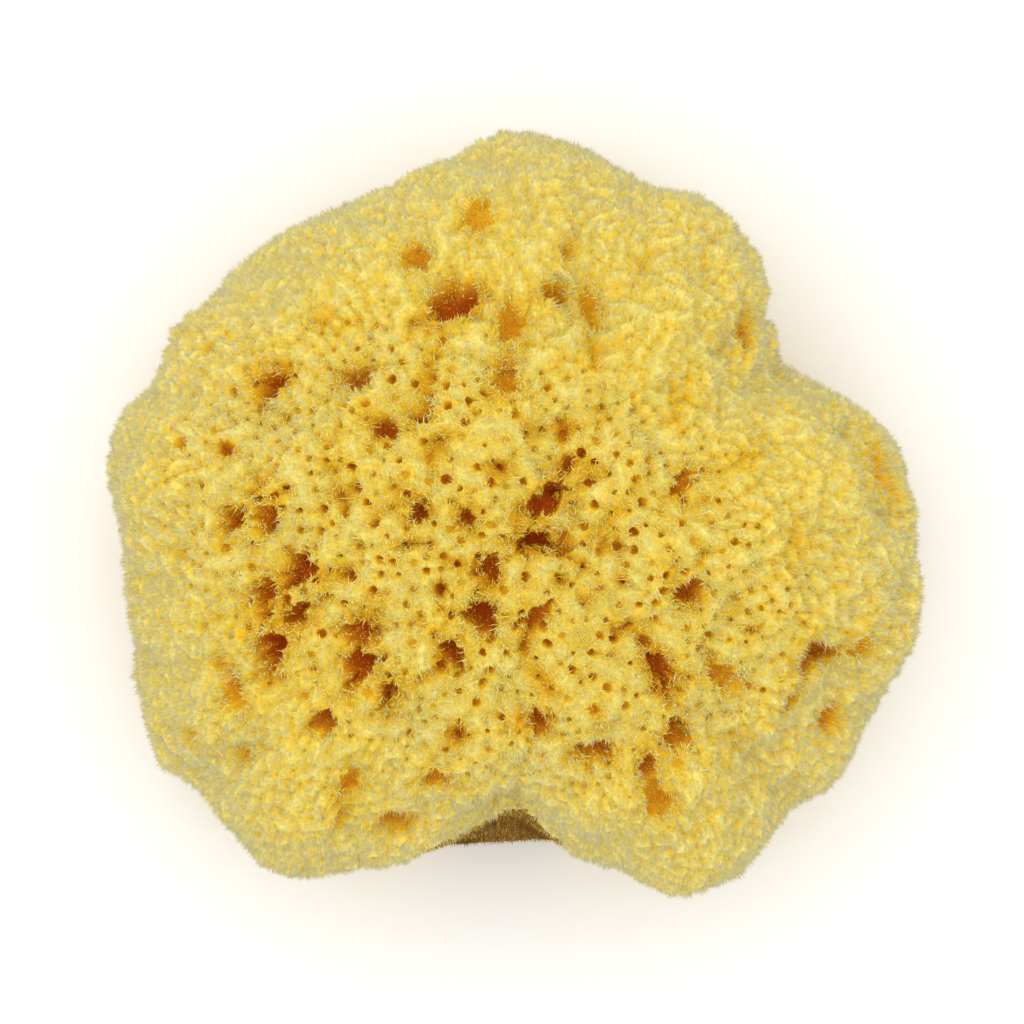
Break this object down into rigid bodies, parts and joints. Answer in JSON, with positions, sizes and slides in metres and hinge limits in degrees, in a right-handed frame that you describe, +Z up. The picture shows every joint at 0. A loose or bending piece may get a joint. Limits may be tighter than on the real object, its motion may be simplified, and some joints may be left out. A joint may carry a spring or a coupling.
{
  "type": "sea sponge",
  "caption": "Natural honeycomb bath sponge: a lobed dome of pale yellow fibre with open canal mouths over its crown and flanks, cut off flat at the base",
  "frame": {"origin": "middle of the cut base, on the plane it rests on", "axes": "+Z up out of the crown; +X along the widest reach, towards the lobe beside the rim; +Y towards the single narrow lobe opposite the notch"},
  "size_m": [0.1296, 0.1219, 0.067],
  "materials": {
    "sponge": "dry, matt and fibrous, bleached pale yellow"
  },
  "bodies": {
    "root": {"sponge": "sponge"}
  },
  "joints": []
}
